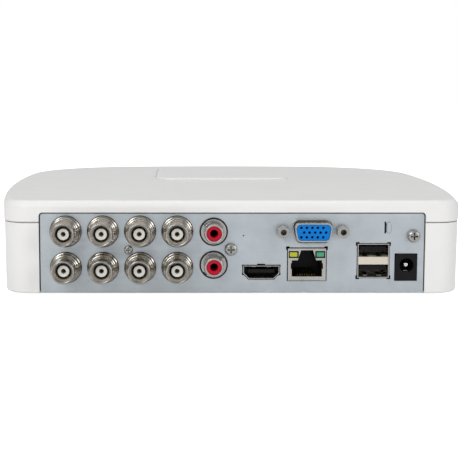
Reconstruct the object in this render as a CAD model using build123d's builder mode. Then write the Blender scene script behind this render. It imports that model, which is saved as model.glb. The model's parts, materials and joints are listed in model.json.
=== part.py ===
from build123d import *
import os
from math import atan2, cos, degrees, hypot, radians, sin, sqrt

# Eight-channel video recorder: two white plastic shells, a steel connector panel at the rear,
# the connectors on a main board behind it, and a 3.5 inch hard drive towards the front.
# Millimetres. +X is right when facing the connector panel, +Y runs from the panel to the front,
# +Z is up, and the origin is at the middle of the bounding box, on the surface it stands on.

# ---- Driving dimensions ----------------------------------------------------------------------
CASE_W = 215.6            # across the widest point of the bowed sides
CASE_D = 211.0            # panel's outer face to the middle of the bowed front
CASE_H = 39.7             # underside to flat top
FOOT_H = 2.0
SEAM_H = 30.5             # underside to the joint between the shells
WALL = 2.0
FLOOR_T = 2.4
BNC_REACH = 12.55         # how far the video jacks stand out of the panel

SIDE_BOW_R = 590.0        # plan radius of the bowed sides
SIDE_BOW_MID = 118.0      # where the sides are widest, behind the panel
FRONT_BOW_R = 417.0
REAR_CORNER_R = 12.0
FRONT_CORNER_R = 61.0
REAR_LIP = 0.9            # cover stands this far behind the panel's face
TOP_EDGE_R = 3.0
BOTTOM_EDGE_R = 1.2

PANEL_W = 162.0
PANEL_H = 33.4
PANEL_T = 1.0
PANEL_LIFT = 0.8          # panel's lower edge above the case underside
PANEL_GAP = 0.5
BOARD_TOP = 4.7           # main board's upper face above the panel's lower edge
BOARD_T = 1.6

# ---- Worked-out places -----------------------------------------------------------------------
REAR_Y = (BNC_REACH - CASE_D) / 2      # panel's outer face
PANEL_Z = FOOT_H + PANEL_LIFT
SEAM_Z = FOOT_H + SEAM_H
TOP_Z = FOOT_H + CASE_H
FLOOR_Z = FOOT_H + FLOOR_T              # inside of the tray
PCB_Z = PANEL_Z + BOARD_TOP            # upper face of the main board
OPENING_HALF = PANEL_W / 2 + PANEL_GAP
SEAT = PANEL_T + 0.3                   # front of the parts that sit behind the panel

TRAY_INSET = 0.25         # tray is this much slimmer than the cover
TRAY_DRAFT = 0.35
TRAY_INNER = TRAY_INSET + TRAY_DRAFT + WALL
SEAM_GAP = 0.3


def face(x, z, y=0.0):
    """Plane facing out of the rear: z above the panel's lower edge, y behind its outer face."""
    return Plane(origin=(x, REAR_Y + y, PANEL_Z + z), x_dir=(1, 0, 0), z_dir=(0, -1, 0))


def deck(x, y, z):
    """Level plane at height z, with y measured from the panel's outer face."""
    return Plane(origin=(x, REAR_Y + y, z))


def case_plan(inset=0.0):
    """Plan of the case, shrunk by inset: flat rear, bowed sides and front, four round corners."""
    half = CASE_W / 2 - inset
    rear = REAR_Y - REAR_LIP + inset
    nose = REAR_Y + CASE_D - inset
    widest = REAR_Y + SIDE_BOW_MID
    side_r = SIDE_BOW_R - inset
    front_r = FRONT_BOW_R - inset
    rear_x = half - side_r + sqrt(side_r**2 - (widest - rear) ** 2)
    # where the side and front bows would meet if the corner were sharp
    across, along = side_r - half, nose - front_r - widest
    apart = hypot(across, along)
    reach = (side_r**2 - front_r**2 + apart**2) / (2 * apart)
    rise = sqrt(side_r**2 - reach**2)
    corner_x = -across + (reach * across - rise * along) / apart
    corner_y = widest + (reach * along + rise * across) / apart
    with BuildSketch() as plan:
        with BuildLine():
            Line((-rear_x, rear), (rear_x, rear))
            ThreePointArc((rear_x, rear), (half, widest), (corner_x, corner_y))
            ThreePointArc((corner_x, corner_y), (0, nose), (-corner_x, corner_y))
            ThreePointArc((-corner_x, corner_y), (-half, widest), (-rear_x, rear))
        make_face()
        fillet(plan.vertices().group_by(Axis.Y)[0], REAR_CORNER_R - inset)
        fillet(plan.vertices().group_by(Axis.Y)[-1], FRONT_CORNER_R - inset)
    return plan.sketch


def save(builder, name):
    """Label a finished piece and write its STEP file."""
    builder.part.label = name
    export_step(builder.part, f"parts/{name}.step")


os.makedirs("parts", exist_ok=True)

# ---- Where things are: x across, z above the panel's lower edge ------------------------------
BNC_PITCH = 15.71
BNC_X = [-70.25 + i * BNC_PITCH for i in range(4)]
BNC_ROWS = [25.8, 10.35]
AUDIO_X = -7.77
AUDIO_ROWS = [25.7, 11.6]
VGA_AT = (33.8, 26.0)
VGA_SCREW_SPAN = 25.0
HDMI_AT = (12.4, 8.45)
LAN_AT = (31.66, 11.79)
USB_AT = (59.69, 13.34)
DC_AT = (73.55, 10.56)
GROUND_AT = (76.5, 23.9)
SMALL_SCREW_AT = (-43.8, 18.0)
LARGE_SCREW_AT = (-0.5, 18.2)
LOCK_AT = (64.6, 27.45)

BNC_BASE_R = 6.55
AUDIO_FLANGE_R = 5.35
GROUND_SHANK_R = 1.6
SCREW_HOLES = [(SMALL_SCREW_AT, 1.3), (LARGE_SCREW_AT, 1.7), (GROUND_AT, GROUND_SHANK_R + 0.08)]

# Case fixings, y behind the panel's face
COVER_BOSSES = [(-87.5, 16.0), (87.5, 16.0), (-86.0, 176.0), (86.0, 176.0)]
COVER_BOSS_R = 4.0
COVER_BOSS_SPLIT = 20.0
BOARD_HOLES = [(-72.0, 27.0), (70.0, 27.0), (-72.0, 76.0), (44.0, 76.0)]
FEET = [(-78.0, 30.0), (78.0, 30.0), (-66.0, 186.0), (66.0, 186.0)]
FOOT_R = 6.5
FOOT_RECESS = 0.6

# Hard drive, lying across the case
DRIVE_L, DRIVE_W, DRIVE_H = 147.0, 101.6, 26.1
DRIVE_Y = 86.0 + DRIVE_W / 2
DRIVE_Z = FLOOR_Z + 1.1
DRIVE_HOLE_HALF = 47.625
DRIVE_HOLE_X = (DRIVE_L / 2 - 41.28, DRIVE_L / 2 - 85.73)
DRIVE_HOLES = [(x, DRIVE_Y + s * DRIVE_HOLE_HALF) for x in DRIVE_HOLE_X for s in (-1, 1)]
DRIVE_LID_T = 1.2
DRIVE_CAVITY_Z = DRIVE_Z + 8.0
DRIVE_LID_Z = DRIVE_Z + DRIVE_H - DRIVE_LID_T
SPINDLE = (-22.5, DRIVE_Y)
PIVOT = (40.0, DRIVE_Y + 21.2)
PLATTER_R = 47.5

# Indicator lights in the front
LIGHT_PITCH = 8.0
LIGHT_Z = 24.0
LIGHT_BOARD_Y = 203.0
LIGHT_BOARD_SIZE = (32.0, 1.6, 12.0)

# ---- Shells ----------------------------------------------------------------------------------
RIM_H = 2.0
LIP_H = 2.5
LIP_OUT = TRAY_INNER + 0.3
LIP_IN = LIP_OUT + 1.2
COVER_INNER = WALL + 0.3
BADGE_HALF = 35.0         # raised field in the middle of the top, running to the front
BADGE_REAR = 106.5
BADGE_FRONT = 190.0
BADGE_RISE = 0.9
BADGE_R = 9.0

with BuildPart() as top_cover:
    with BuildSketch(Plane.XY.offset(SEAM_Z)):
        add(case_plan())
    extrude(amount=TOP_Z - SEAM_Z)
    fillet(top_cover.edges().group_by(Axis.Z)[-1], TOP_EDGE_R)
    chamfer(top_cover.edges().group_by(Axis.Z)[0], 0.5)
    with BuildSketch(Plane.XY.offset(SEAM_Z)):
        add(case_plan(LIP_IN))
    extrude(amount=TOP_Z - WALL - SEAM_Z, mode=Mode.SUBTRACT)
    with BuildSketch(Plane.XY.offset(SEAM_Z + RIM_H)):
        add(case_plan(COVER_INNER))
    extrude(amount=TOP_Z - WALL - SEAM_Z - RIM_H, mode=Mode.SUBTRACT)
    # locating lip that drops inside the tray wall
    with BuildSketch(Plane.XY.offset(SEAM_Z - LIP_H)):
        add(case_plan(LIP_OUT))
        add(case_plan(LIP_IN), mode=Mode.SUBTRACT)
    extrude(amount=LIP_H)
    # screw bosses
    with BuildSketch(Plane.XY.offset(FLOOR_Z + COVER_BOSS_SPLIT)):
        with Locations(*[(x, REAR_Y + y) for x, y in COVER_BOSSES]):
            Circle(COVER_BOSS_R)
    extrude(amount=TOP_Z - WALL - FLOOR_Z - COVER_BOSS_SPLIT)
    with BuildSketch(Plane.XY.offset(FLOOR_Z + COVER_BOSS_SPLIT)):
        with Locations(*[(x, REAR_Y + y) for x, y in COVER_BOSSES]):
            Circle(1.55)
    extrude(amount=11.0, mode=Mode.SUBTRACT)
    # raised field and the fine groove that runs along its sides
    with BuildSketch(deck(0, (BADGE_REAR + BADGE_FRONT) / 2, TOP_Z)):
        RectangleRounded(2 * BADGE_HALF, BADGE_FRONT - BADGE_REAR, BADGE_R)
    extrude(amount=BADGE_RISE)
    fillet(top_cover.edges().group_by(Axis.Z)[-1], 0.35)
    with BuildSketch(deck(0, (BADGE_REAR + BADGE_FRONT) / 2 + 4.0, TOP_Z)):
        with Locations((-BADGE_HALF - 0.35, 0), (BADGE_HALF + 0.35, 0)):
            Rectangle(0.7, BADGE_FRONT - BADGE_REAR - 26.0)
    extrude(amount=-0.5, mode=Mode.SUBTRACT)
    # opening for the connector panel
    with BuildSketch(face(0, 0, 8.0)):
        with BuildLine():
            top = PANEL_H + PANEL_GAP
            FilletPolyline(
                (-OPENING_HALF, 0), (-OPENING_HALF, top), (OPENING_HALF, top), (OPENING_HALF, 0),
                radius=1.6,
            )
            Line((OPENING_HALF, 0), (-OPENING_HALF, 0))
        make_face()
    extrude(amount=12.0, mode=Mode.SUBTRACT)
save(top_cover, "top_cover")

with BuildPart() as bottom_tray:
    with BuildSketch(Plane.XY.offset(FOOT_H)):
        add(case_plan(TRAY_INSET + TRAY_DRAFT))
    with BuildSketch(Plane.XY.offset(SEAM_Z - SEAM_GAP)):
        add(case_plan(TRAY_INSET))
    loft()
    fillet(bottom_tray.edges().group_by(Axis.Z)[0], BOTTOM_EDGE_R)
    with BuildSketch(Plane.XY.offset(FLOOR_Z)):
        add(case_plan(TRAY_INNER))
    extrude(amount=CASE_H, mode=Mode.SUBTRACT)
    # bosses, standoffs, drive pads and the two legs of the indicator board
    with BuildSketch(Plane.XY.offset(FLOOR_Z)):
        with Locations(*[(x, REAR_Y + y) for x, y in COVER_BOSSES]):
            Circle(COVER_BOSS_R)
    extrude(amount=COVER_BOSS_SPLIT - 0.3)
    with BuildSketch(Plane.XY.offset(FLOOR_Z)):
        with Locations(*[(x, REAR_Y + y) for x, y in BOARD_HOLES]):
            Circle(3.2)
    extrude(amount=PCB_Z - BOARD_T - FLOOR_Z)
    with BuildSketch(Plane.XY.offset(FLOOR_Z)):
        with Locations(*[(x, REAR_Y + y) for x, y in DRIVE_HOLES]):
            Circle(4.5)
    extrude(amount=DRIVE_Z - FLOOR_Z)
    with BuildSketch(deck(0, LIGHT_BOARD_Y + 1.5, FLOOR_Z)):
        with Locations((-14.0, 0), (14.0, 0)):
            Rectangle(4.0, 5.0)
    extrude(amount=LIGHT_Z - LIGHT_BOARD_SIZE[2] / 2 - FLOOR_Z)
    # guide ribs beside the panel's side flanges
    with BuildSketch(deck(0, 8.0, FLOOR_Z)):
        with Locations((-PANEL_W / 2 - 1.3, 0), (PANEL_W / 2 + 1.3, 0)):
            Rectangle(2.0, 10.0)
    extrude(amount=22.0)
    # through holes and counterbores from below
    with Locations(*[(x, REAR_Y + y, FOOT_H) for x, y in COVER_BOSSES]):
        Cylinder(1.8, 60, mode=Mode.SUBTRACT)
        Cylinder(3.3, 22.0, mode=Mode.SUBTRACT)
    with Locations(*[(x, REAR_Y + y, FOOT_H) for x, y in DRIVE_HOLES]):
        Cylinder(1.8, 20, mode=Mode.SUBTRACT)
        Cylinder(3.3, 3.8, mode=Mode.SUBTRACT)
    with Locations(*[(x, REAR_Y + y, PCB_Z - BOARD_T) for x, y in BOARD_HOLES]):
        Cylinder(1.5, 5.0, mode=Mode.SUBTRACT)
    with Locations(*[(x, REAR_Y + y, FOOT_H) for x, y in FEET]):
        Cylinder(FOOT_R + 0.1, 2 * FOOT_RECESS, mode=Mode.SUBTRACT)
    # vent slots in the floor
    with BuildSketch(deck(0, 48.0, FOOT_H)):
        with GridLocations(7.0, 1.0, 13, 1):
            SlotOverall(22.0, 3.0, rotation=90)
    extrude(amount=WALL, mode=Mode.SUBTRACT)
    with BuildSketch(deck(0, DRIVE_Y, FOOT_H)):
        with GridLocations(7.0, 46.0, 15, 2):
            SlotOverall(34.0, 3.0, rotation=90)
    extrude(amount=WALL, mode=Mode.SUBTRACT)
    # indicator holes through the front wall
    with BuildSketch(Plane(origin=(0, REAR_Y + CASE_D + 1, LIGHT_Z), x_dir=(1, 0, 0), z_dir=(0, -1, 0))):
        with GridLocations(LIGHT_PITCH, 1, 3, 1):
            Circle(1.3)
    extrude(amount=6.0, mode=Mode.SUBTRACT)
    # opening for the connector panel, with the floor ending behind the panel
    with BuildSketch(deck(0, 0, 0)):
        Rectangle(2 * OPENING_HALF, 2 * (PANEL_T + 0.2))
    extrude(amount=CASE_H, mode=Mode.SUBTRACT)
    with BuildSketch(deck(0, 0, FLOOR_Z)):
        Rectangle(2 * OPENING_HALF, 6.0)
    extrude(amount=CASE_H, mode=Mode.SUBTRACT)
save(bottom_tray, "bottom_tray")

with BuildPart() as rubber_feet:
    with BuildSketch():
        with Locations(*[(x, REAR_Y + y) for x, y in FEET]):
            Circle(FOOT_R)
    extrude(amount=FOOT_H + FOOT_RECESS)
    fillet(rubber_feet.edges().group_by(Axis.Z)[0], 0.7)
save(rubber_feet, "rubber_feet")


def cross_screws(places, head_z, head_r, head_h, shank_r, shank_l, up):
    """Pan-head cross-recess screws standing on a level seat; up is +1 where the shank points up."""
    with BuildPart() as screws:
        for x, y in places:
            seat = Plane(origin=(x, REAR_Y + y, head_z), z_dir=(0, 0, -up))
            with BuildSketch(seat):
                Circle(head_r)
            extrude(amount=head_h)
            with BuildSketch(seat):
                Circle(shank_r)
            extrude(amount=-shank_l)
            with BuildSketch(seat.offset(head_h)):
                Rectangle(head_r * 1.2, head_r * 0.28)
                Rectangle(head_r * 0.28, head_r * 1.2)
            extrude(amount=-head_h * 0.6, mode=Mode.SUBTRACT)
    return screws


save(cross_screws(COVER_BOSSES, FOOT_H + 11.0, 2.9, 1.8, 1.45, 18.0, 1), "cover_screws")
save(cross_screws(DRIVE_HOLES, FOOT_H + 1.9, 2.9, 1.7, 1.45, 6.0, 1), "drive_screws")
save(cross_screws(BOARD_HOLES, PCB_Z, 2.8, 1.8, 1.4, 3.4, -1), "board_screws")

# ---- Rear panel ------------------------------------------------------------------------------
FLANGE = 8.0


def d_outline(width, height, radius):
    """D-shaped connector outline, wide side up, its sides leaning in by ten degrees."""
    lean = height * 0.176
    with BuildSketch() as outline:
        with BuildLine():
            FilletPolyline(
                (-width / 2, height / 2), (width / 2, height / 2),
                (width / 2 - lean, -height / 2), (lean - width / 2, -height / 2),
                radius=radius, close=True,
            )
        make_face()
    return outline.sketch


def hdmi_outline(grow):
    """Socket outline: straight upper sides and sloping lower corners."""
    w, top, knee, bottom, foot = 7.65, 2.8, -0.5, -2.85, 5.35
    with BuildSketch() as outline:
        with BuildLine():
            Polyline(
                (-w, top), (w, top), (w, knee), (foot, bottom), (-foot, bottom), (-w, knee), close=True
            )
        make_face()
        if grow:
            offset(amount=grow, kind=Kind.INTERSECTION)
    return outline.sketch


with BuildPart() as rear_panel:
    with BuildSketch(face(0, 0, PANEL_T)):
        with BuildLine():
            half = PANEL_W / 2
            FilletPolyline((-half, 0), (-half, PANEL_H), (half, PANEL_H), (half, 0), radius=1.0)
            Line((half, 0), (-half, 0))
        make_face()
    extrude(amount=PANEL_T)
    # folded side and top flanges
    with BuildSketch(face(0, 0, PANEL_T)):
        with Locations((0, PANEL_H - PANEL_T / 2)):
            Rectangle(PANEL_W - 6.0, PANEL_T)
        with Locations((-(PANEL_W - PANEL_T) / 2, 16.5), ((PANEL_W - PANEL_T) / 2, 16.5)):
            Rectangle(PANEL_T, 26.0)
    extrude(amount=-FLANGE)
    # connector openings
    with BuildSketch(face(0, 0)):
        with Locations(*[(x, z) for x in BNC_X for z in BNC_ROWS]):
            Circle(BNC_BASE_R + 0.2)
        with Locations(*[(AUDIO_X, z) for z in AUDIO_ROWS]):
            Circle(5.8)
        for (x, z), radius in SCREW_HOLES:
            with Locations((x, z)):
                Circle(radius)
        with Locations((VGA_AT[0] + 0.2, VGA_AT[1] - 0.2)):
            add(d_outline(17.5, 9.9, 2.6))
        with Locations(*[(VGA_AT[0] + s * VGA_SCREW_SPAN / 2, VGA_AT[1]) for s in (-1, 1)]):
            Circle(1.7)
        with Locations(HDMI_AT):
            add(hdmi_outline(0.35))
        with Locations(*[(HDMI_AT[0] + s * 7.5, HDMI_AT[1] + z) for s in (-1, 1) for z in (2.7, -0.8)]):
            Rectangle(1.3, 1.0)
        with Locations((HDMI_AT[0] - 0.1, HDMI_AT[1] + 3.1)):
            Rectangle(3.4, 0.9)
        with Locations(LAN_AT):
            Rectangle(16.8, 14.4)
        with Locations(*[(LAN_AT[0] + s * 8.1, LAN_AT[1] + 6.9) for s in (-1, 1)]):
            Rectangle(1.5, 1.5)
        with Locations(USB_AT):
            Rectangle(13.85, 14.93)
        with Locations(*[(USB_AT[0] + s * 6.6, USB_AT[1] + t * 7.1) for s in (-1, 1) for t in (-1, 1)]):
            Rectangle(1.6, 1.6)
        with Locations(DC_AT):
            Rectangle(9.6, 11.7)
        with Locations((4.8, 24.05)):
            Circle(0.3)
        with Locations((30.6, 0)):
            Rectangle(2.0, 0.8)
        with Locations(LOCK_AT):
            Rectangle(0.7, 5.0)
    extrude(amount=-PANEL_T, mode=Mode.SUBTRACT)
    # drawn rim round the monitor socket's opening
    with BuildSketch(face(VGA_AT[0] + 0.2, VGA_AT[1] - 0.2)):
        add(d_outline(18.3, 10.7, 3.0))
        add(d_outline(17.5, 9.9, 2.6), mode=Mode.SUBTRACT)
    extrude(amount=0.4)
    # pressed half-round beside the lock slit
    with BuildSketch(face(LOCK_AT[0] + 1.5, LOCK_AT[1])):
        SlotOverall(5.0, 2.2, rotation=90)
    extrude(amount=0.5, taper=30)
save(rear_panel, "rear_panel")


def panel_screw(name, at, head_r, head_h, shank_r, length, stand=0.0):
    """Cross-recess screw through the rear panel, its domed head standing this far off the panel."""
    with BuildPart() as screw:
        with BuildSketch(face(*at, -stand)):
            Circle(head_r)
        extrude(amount=head_h)
        fillet(screw.edges().sort_by(Axis.Y)[0], head_h * 0.55)
        with BuildSketch(face(*at, -stand)):
            Circle(shank_r)
        extrude(amount=-length)
        with BuildSketch(face(*at, -stand - head_h)):
            Rectangle(head_r * 1.15, head_r * 0.26)
            Rectangle(head_r * 0.26, head_r * 1.15)
        extrude(amount=-head_h * 0.65, mode=Mode.SUBTRACT)
    save(screw, name)


panel_screw("panel_screw_small", SMALL_SCREW_AT, 1.8, 1.1, 1.25, 6.0)
panel_screw("panel_screw_large", LARGE_SCREW_AT, 2.6, 1.7, 1.65, 8.0)
panel_screw("ground_screw", GROUND_AT, 2.65, 2.0, GROUND_SHANK_R, 7.0, stand=0.1)

# ---- Video jacks -----------------------------------------------------------------------------
BNC_FRONT_R, BNC_BORE_R = 4.85, 4.05
BNC_CORE_R, BNC_CONTACT_R = 2.4, 1.05
BNC_CORE_FACE = -9.15
BNC_CONTACT_SUNK = 2.0
BNC_LUG_Y = -9.3
# (radius, reach) of the turned steps between the base and the front barrel
BNC_STEPS = [(6.55, -0.75), (5.95, -1.6), (5.6, -2.0), (5.95, -2.6), (5.6, -3.0), (5.95, -3.7), (5.3, -5.0)]


def bnc_shell(x, z):
    """Turned jack body with thread rings, a bore, and two bayonet lugs."""
    with BuildPart() as shell:
        start = SEAT
        for radius, reach in BNC_STEPS:
            with BuildSketch(face(x, z, start)):
                Circle(radius)
            extrude(amount=start - reach)
            start = reach
        with BuildSketch(face(x, z, start)):
            Circle(BNC_FRONT_R)
        extrude(amount=start + BNC_REACH)
        chamfer(shell.edges().group_by(Axis.Y)[0], 0.25)
        with BuildSketch(Plane(origin=(x, REAR_Y + BNC_LUG_Y, PANEL_Z + z), z_dir=(1, 0, 0))):
            Circle(0.95)
        extrude(amount=5.45, both=True)
        with BuildSketch(face(x, z, -BNC_REACH)):
            Circle(BNC_BORE_R)
        extrude(amount=2.0 - BNC_REACH, mode=Mode.SUBTRACT)
        with BuildSketch(face(x, z, SEAT)):
            Circle(BNC_CORE_R)
        extrude(amount=BNC_REACH, mode=Mode.SUBTRACT)
    return shell


number = 1
for z in BNC_ROWS:
    for x in BNC_X:
        save(bnc_shell(x, z), f"bnc_shell_{number}")
        number += 1

with BuildPart() as bnc_insulators:
    for x in BNC_X:
        for z in BNC_ROWS:
            with BuildSketch(face(x, z, SEAT)):
                Circle(BNC_CORE_R - 0.01)
                Circle(BNC_CONTACT_R + 0.01, mode=Mode.SUBTRACT)
            extrude(amount=SEAT - BNC_CORE_FACE)
save(bnc_insulators, "bnc_insulators")

with BuildPart() as bnc_contacts:
    for x in BNC_X:
        for z in BNC_ROWS:
            with BuildSketch(face(x, z, SEAT)):
                Circle(BNC_CONTACT_R)
            extrude(amount=SEAT - BNC_CORE_FACE - BNC_CONTACT_SUNK)
            with BuildSketch(face(x, z, BNC_CORE_FACE + BNC_CONTACT_SUNK)):
                Circle(0.75)
            extrude(amount=-5.0, mode=Mode.SUBTRACT)
save(bnc_contacts, "bnc_contacts")

BNC_BLOCK = (14.8, 13.0, 27.4)
with BuildPart() as bnc_blocks:
    for x in BNC_X:
        with BuildSketch(deck(x, SEAT + 6.5, PCB_Z)):
            Rectangle(BNC_BLOCK[0], BNC_BLOCK[1])
        extrude(amount=BNC_BLOCK[2])
        with BuildSketch(deck(x, SEAT + BNC_BLOCK[1], PCB_Z + 12.0)):
            Rectangle(8.0, 8.0)
        extrude(amount=4.0, mode=Mode.SUBTRACT)
    with BuildSketch(face(*SMALL_SCREW_AT, SEAT)):
        Circle(1.3)
    extrude(amount=-6.0, mode=Mode.SUBTRACT)
save(bnc_blocks, "bnc_blocks")

# ---- Audio jacks -----------------------------------------------------------------------------
AUDIO_REACH = 7.4
for number, (z, notches) in enumerate(zip(AUDIO_ROWS, [(135,), (45, 225)]), start=1):
    with BuildPart() as audio_shell:
        with BuildSketch(face(AUDIO_X, z, SEAT)):
            Circle(AUDIO_FLANGE_R)
        extrude(amount=SEAT + 0.6)
        with BuildSketch(face(AUDIO_X, z, -0.6)):
            Circle(4.15)
        extrude(amount=AUDIO_REACH - 0.6)
        chamfer(audio_shell.edges().group_by(Axis.Y)[0], 0.35)
        with BuildSketch(face(AUDIO_X, z, -AUDIO_REACH)):
            Circle(3.25)
        extrude(amount=-AUDIO_REACH - 0.3, mode=Mode.SUBTRACT)
        with BuildSketch(face(AUDIO_X, z, SEAT)):
            Circle(1.7)
        extrude(amount=SEAT, mode=Mode.SUBTRACT)
        with BuildSketch(face(AUDIO_X, z, -0.6)):
            for angle in notches:
                with Locations((5.1 * cos(radians(angle)), 5.1 * sin(radians(angle)))):
                    Rectangle(1.7, 1.7, rotation=angle)
        extrude(amount=-1.2, mode=Mode.SUBTRACT)
    save(audio_shell, f"audio_jack_shell_{number}")

with BuildPart() as audio_inserts:
    for z in AUDIO_ROWS:
        with BuildSketch(face(AUDIO_X, z, 0.3)):
            Circle(3.24)
            Circle(1.7, mode=Mode.SUBTRACT)
        extrude(amount=AUDIO_REACH - 0.4)
save(audio_inserts, "audio_jack_inserts")

with BuildPart() as audio_housing:
    with BuildSketch(deck(AUDIO_X, SEAT + 6.0, PCB_Z)):
        Rectangle(10.6, 12.0)
    extrude(amount=27.5)
    with BuildSketch(face(AUDIO_X, 0, SEAT)):
        with Locations(*[(0, z) for z in AUDIO_ROWS]):
            Circle(1.6)
    extrude(amount=-9.0, mode=Mode.SUBTRACT)
save(audio_housing, "audio_jack_housing")

# ---- Monitor socket --------------------------------------------------------------------------
VGA_REACH = 5.7
VGA_PITCH = 2.29
VGA_PIN_ROWS = ((1.98, -0.6), (0.0, VGA_PITCH / 2 - 0.6), (-1.98, -0.6))
VGA_PINS = [(first + VGA_PITCH * (i - 2), row) for row, first in VGA_PIN_ROWS for i in range(5)]
VGA_FLANGE = (31.0, 12.5, 0.8)
VGA_BLOCK_D = 7.0

with BuildPart() as vga_shell:
    with BuildSketch(face(*VGA_AT, PANEL_T + VGA_FLANGE[2])):
        RectangleRounded(VGA_FLANGE[0], VGA_FLANGE[1], 1.5)
    extrude(amount=VGA_FLANGE[2])
    with BuildSketch(face(*VGA_AT, PANEL_T)):
        add(d_outline(16.3, 7.9, 2.2))
    extrude(amount=PANEL_T + VGA_REACH)
    with BuildSketch(face(*VGA_AT, PANEL_T + VGA_FLANGE[2])):
        add(d_outline(15.3, 6.9, 1.8))
        with Locations((-VGA_SCREW_SPAN / 2, 0), (VGA_SCREW_SPAN / 2, 0)):
            Circle(1.6)
    extrude(amount=PANEL_T + VGA_FLANGE[2] + VGA_REACH, mode=Mode.SUBTRACT)
save(vga_shell, "vga_shell")

with BuildPart() as vga_insert:
    with BuildSketch(face(*VGA_AT, PANEL_T + VGA_FLANGE[2])):
        add(d_outline(15.28, 6.88, 1.8))
    extrude(amount=PANEL_T + VGA_FLANGE[2] + VGA_REACH - 0.4)
    with BuildSketch(face(*VGA_AT, PANEL_T + VGA_FLANGE[2])):
        RectangleRounded(VGA_FLANGE[0] - 0.6, VGA_FLANGE[1] - 0.6, 1.5)
    extrude(amount=-VGA_BLOCK_D)
    with BuildSketch(face(*VGA_AT, 0.4 - VGA_REACH)):
        with Locations(*VGA_PINS):
            Circle(0.55)
    extrude(amount=-6.0, mode=Mode.SUBTRACT)
    with BuildSketch(face(*VGA_AT, PANEL_T + VGA_FLANGE[2])):
        with Locations((-VGA_SCREW_SPAN / 2, 0), (VGA_SCREW_SPAN / 2, 0)):
            Circle(1.55)
    extrude(amount=-VGA_BLOCK_D, mode=Mode.SUBTRACT)
save(vga_insert, "vga_insert")

JACKSCREW_L = 5.0
with BuildPart() as vga_jackscrews:
    for side in (-1, 1):
        x = VGA_AT[0] + side * VGA_SCREW_SPAN / 2
        with BuildSketch(face(x, VGA_AT[1])):
            RegularPolygon(2.4, 6, major_radius=False, rotation=30)
        extrude(amount=JACKSCREW_L)
        with BuildSketch(face(x, VGA_AT[1])):
            Circle(1.5)
        extrude(amount=-6.5)
        with BuildSketch(face(x, VGA_AT[1], -JACKSCREW_L)):
            Circle(1.25)
        extrude(amount=-4.0, mode=Mode.SUBTRACT)
save(vga_jackscrews, "vga_jackscrews")

RISER_Y = PANEL_T + VGA_FLANGE[2] + VGA_BLOCK_D
with BuildPart() as vga_riser:
    with BuildSketch(face(0, 0, RISER_Y)):
        with BuildLine():
            Polyline(
                (18.0, 32.2), (50.5, 32.2), (50.5, BOARD_TOP),
                (42.0, BOARD_TOP), (42.0, 19.4), (18.0, 19.4),
                close=True,
            )
        make_face()
    extrude(amount=-BOARD_T)
save(vga_riser, "vga_riser_board")

# ---- Digital video socket --------------------------------------------------------------------
HDMI_D = 11.0
HDMI_WALL = 0.3
with BuildPart() as hdmi_shell:
    with BuildSketch(face(*HDMI_AT, HDMI_D)):
        add(hdmi_outline(0.0))
        add(hdmi_outline(-HDMI_WALL), mode=Mode.SUBTRACT)
    extrude(amount=HDMI_D + 0.3)
    with BuildSketch(face(*HDMI_AT, HDMI_D - 1.0)):
        with Locations(*[(s * 7.5, (BOARD_TOP - HDMI_AT[1]) / 2) for s in (-1, 1)]):
            Rectangle(HDMI_WALL, HDMI_AT[1] - BOARD_TOP)
    extrude(amount=HDMI_D - 3.0)
save(hdmi_shell, "hdmi_shell")

with BuildPart() as hdmi_tongue:
    with BuildSketch(face(*HDMI_AT, HDMI_D)):
        add(hdmi_outline(-HDMI_WALL - 0.01))
    extrude(amount=2.5)
    with BuildSketch(face(*HDMI_AT, HDMI_D - 2.5)):
        with Locations((0, 0.35)):
            Rectangle(11.2, 1.5)
    extrude(amount=HDMI_D - 3.5)
save(hdmi_tongue, "hdmi_tongue")

# ---- Network socket --------------------------------------------------------------------------
LAN_W, LAN_H, LAN_D = 16.05, 13.9, 21.0
LAN_Z = BOARD_TOP + LAN_H / 2
LAN_CAVITY = (12.8, 6.9, 12.5)          # width, height, depth of the plug opening
LAN_CAVITY_Z = 6.63 + LAN_CAVITY[1] / 2
LED_SIZE = (3.8, 2.5)
LED_Z = 16.0
LED_OFFSET = 5.65

LAN_PLATE_T = 0.3


def lan_opening():
    """Plug opening with the tapered latch slot above it, x from the socket's middle."""
    low = LAN_CAVITY_Z - LAN_CAVITY[1] / 2
    high = LAN_CAVITY_Z + LAN_CAVITY[1] / 2
    half = LAN_CAVITY[0] / 2
    with BuildSketch() as opening:
        with BuildLine():
            Polyline(
                (-half, low), (half, low), (half, high), (3.9, high), (2.5, high + 4.3),
                (-2.5, high + 4.3), (-3.9, high), (-half, high), close=True,
            )
        make_face()
    return opening.sketch


with BuildPart() as lan_shell:
    with BuildSketch(face(LAN_AT[0], LAN_Z, LAN_D)):
        Rectangle(LAN_W, LAN_H)
        with Locations((0, -0.2)):
            Rectangle(LAN_W - 0.7, LAN_H - 0.7, mode=Mode.SUBTRACT)
    extrude(amount=LAN_D + LAN_PLATE_T)
    # front plate, cut away over the plug opening, the latch slot and the two lights
    with BuildSketch(face(LAN_AT[0], 0)):
        with Locations((0, LAN_Z)):
            Rectangle(LAN_W - 0.5, LAN_H - 0.5)
        add(lan_opening(), mode=Mode.SUBTRACT)
        with Locations(*[(side * LED_OFFSET, LED_Z) for side in (-1, 1)]):
            Rectangle(LED_SIZE[0] + 0.5, LED_SIZE[1] + 0.5, mode=Mode.SUBTRACT)
        with Locations(*[(side * LAN_CAVITY[0] / 2, LAN_CAVITY_Z + 1.0) for side in (-1, 1)]):
            Rectangle(0.8, 2.4, mode=Mode.SUBTRACT)
    extrude(amount=LAN_PLATE_T)
save(lan_shell, "lan_shell")

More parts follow.
